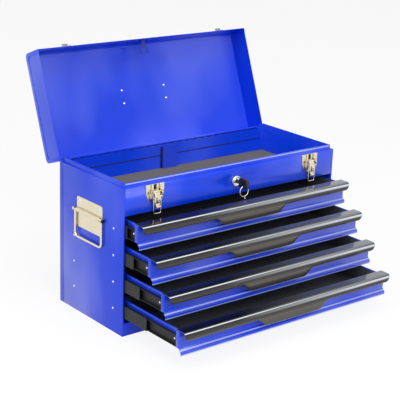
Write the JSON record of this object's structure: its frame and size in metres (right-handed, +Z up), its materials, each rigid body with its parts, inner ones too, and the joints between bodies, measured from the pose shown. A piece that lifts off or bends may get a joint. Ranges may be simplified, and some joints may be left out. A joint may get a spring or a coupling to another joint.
{
  "type": "portable tool box with drawers",
  "caption": "Steel tool box with a hinged lid over a deep tray, sliding drawers with full-width pulls, draw latches, a key lock and fold-down wire handles.",
  "frame": {"origin": "centre of the cabinet underside", "axes": "+X to the right as seen from the front, -Y out of the front, +Z up"},
  "size_m": [0.54, 0.5261, 0.4969],
  "materials": {
    "blue_paint": "gloss",
    "nickel": "bright nickel",
    "pull_aluminium": "polished, dark anodised",
    "black_steel": "semi-gloss",
    "black_mat": "matt",
    "grey_mat": "matt",
    "chrome": "polished",
    "key_black": "matt"
  },
  "bodies": {
    "cabinet": {"back_panel": "blue_paint", "base_pan": "blue_paint", "front_panel": "blue_paint", "handle_plate_left": "nickel", "handle_plate_right": "nickel", "hinge_leaf_lower": "blue_paint", "latch_bases": "nickel", "lock_bar_channel": "blue_paint", "lock_housing": "chrome", "side_panel_left": "blue_paint", "side_panel_right": "blue_paint", "slide_rails_left": "black_steel", "slide_rails_right": "black_steel", "tray": "blue_paint", "tray_mat": "grey_mat"},
    "lid": {"lid_shell": "blue_paint", "lid_end_left": "blue_paint", "lid_end_right": "blue_paint", "hinge_leaf_upper": "blue_paint", "latch_catches": "nickel", "lid_hasp": "blue_paint", "top_handle_saddles": "nickel"},
    "top_handle": {"top_handle": "nickel"},
    "lever_left": {"latch_lever_left": "nickel"},
    "lever_right": {"latch_lever_right": "nickel"},
    "bail_left": {"latch_bail_left": "nickel"},
    "bail_right": {"latch_bail_right": "nickel"},
    "handle_left": {"side_handle_left": "nickel"},
    "handle_right": {"side_handle_right": "nickel"},
    "lock_plug": {"lock_plug": "chrome", "key": "key_black"},
    "key_ring": {"key_ring": "chrome"},
    "lock_bar": {"lock_bar": "blue_paint"},
    "drawer_1": {"drawer_1_pan": "blue_paint", "drawer_1_front": "blue_paint", "drawer_1_pull": "pull_aluminium", "drawer_1_mat": "black_mat", "drawer_1_runners": "black_steel"},
    "middle_slides_1": {"slide_middle_1": "black_steel"},
    "drawer_2": {"drawer_2_pan": "blue_paint", "drawer_2_front": "blue_paint", "drawer_2_pull": "pull_aluminium", "drawer_2_mat": "black_mat", "drawer_2_runners": "black_steel"},
    "middle_slides_2": {"slide_middle_2": "black_steel"},
    "drawer_3": {"drawer_3_pan": "blue_paint", "drawer_3_front": "blue_paint", "drawer_3_pull": "pull_aluminium", "drawer_3_mat": "black_mat", "drawer_3_runners": "black_steel"},
    "middle_slides_3": {"slide_middle_3": "black_steel"},
    "drawer_4": {"drawer_4_pan": "blue_paint", "drawer_4_front": "blue_paint", "drawer_4_pull": "pull_aluminium", "drawer_4_mat": "black_mat", "drawer_4_runners": "black_steel"},
    "middle_slides_4": {"slide_middle_4": "black_steel"}
  },
  "joints": [
    {"name": "lid_hinge", "type": "hinge", "parent": "cabinet", "child": "lid", "pos_m": [0, 0.109, 0.29], "axis": [1, 0, 0], "range_deg": [0, 111]},
    {"name": "top_handle_swing", "type": "hinge", "parent": "lid", "child": "top_handle", "pos_m": [0, 0.19736, 0.37284], "axis": [1, 0, 0], "range_deg": [-21, 159]},
    {"name": "lever_left_pivot", "type": "hinge", "parent": "cabinet", "child": "lever_left", "pos_m": [-0.194, -0.1147, 0.274], "axis": [-1, 0, 0], "range_deg": [0, 120]},
    {"name": "bail_left_pivot", "type": "hinge", "parent": "cabinet", "child": "bail_left", "pos_m": [-0.194, -0.1195, 0.26665], "axis": [-1, 0, 0], "range_deg": [0, 192.6]},
    {"name": "handle_left_swing", "type": "hinge", "parent": "cabinet", "child": "handle_left", "pos_m": [-0.2662, 0, 0.211], "axis": [0, 1, 0], "range_deg": [0, 100]},
    {"name": "lever_right_pivot", "type": "hinge", "parent": "cabinet", "child": "lever_right", "pos_m": [0.194, -0.1147, 0.274], "axis": [-1, 0, 0], "range_deg": [0, 120]},
    {"name": "bail_right_pivot", "type": "hinge", "parent": "cabinet", "child": "bail_right", "pos_m": [0.194, -0.1195, 0.26665], "axis": [-1, 0, 0], "range_deg": [0, 192.6]},
    {"name": "handle_right_swing", "type": "hinge", "parent": "cabinet", "child": "handle_right", "pos_m": [0.2662, 0, 0.211], "axis": [0, -1, 0], "range_deg": [0, 100]},
    {"name": "lock_turn", "type": "hinge", "parent": "cabinet", "child": "lock_plug", "pos_m": [0, -0.1105, 0.263], "axis": [0, 1, 0], "range_deg": [0, 90]},
    {"name": "key_ring_swing", "type": "hinge", "parent": "lock_plug", "child": "key_ring", "pos_m": [0, -0.1375, 0.2595], "axis": [1, 0, 0], "range_deg": [-40, 40]},
    {"name": "lock_bar_slide", "type": "slide", "parent": "cabinet", "child": "lock_bar", "axis": [0, 0, 1], "range_m": [-0.004, 0]},
    {"name": "drawer_1_slide", "type": "slide", "parent": "cabinet", "child": "drawer_1", "axis": [0, -1, 0], "range_m": [-0.039, 0.146]},
    {"name": "middle_1_slide", "type": "slide", "parent": "cabinet", "child": "middle_slides_1", "axis": [0, -1, 0], "range_m": [-0.0195, 0.073]},
    {"name": "drawer_2_slide", "type": "slide", "parent": "cabinet", "child": "drawer_2", "axis": [0, -1, 0], "range_m": [-0.081, 0.104]},
    {"name": "middle_2_slide", "type": "slide", "parent": "cabinet", "child": "middle_slides_2", "axis": [0, -1, 0], "range_m": [-0.0405, 0.052]},
    {"name": "drawer_3_slide", "type": "slide", "parent": "cabinet", "child": "drawer_3", "axis": [0, -1, 0], "range_m": [-0.122, 0.063]},
    {"name": "middle_3_slide", "type": "slide", "parent": "cabinet", "child": "middle_slides_3", "axis": [0, -1, 0], "range_m": [-0.061, 0.0315]},
    {"name": "drawer_4_slide", "type": "slide", "parent": "cabinet", "child": "drawer_4", "axis": [0, -1, 0], "range_m": [-0.168, 0.017]},
    {"name": "middle_4_slide", "type": "slide", "parent": "cabinet", "child": "middle_slides_4", "axis": [0, -1, 0], "range_m": [-0.084, 0.0085]}
  ],
  "couplings": [
    {"joint": "lock_bar_slide", "follows": "lid_hinge", "m_per_rad": -0.002064},
    {"joint": "middle_1_slide", "follows": "drawer_1_slide", "ratio": 0.5},
    {"joint": "middle_2_slide", "follows": "drawer_2_slide", "ratio": 0.5},
    {"joint": "middle_3_slide", "follows": "drawer_3_slide", "ratio": 0.5},
    {"joint": "middle_4_slide", "follows": "drawer_4_slide", "ratio": 0.5}
  ]
}
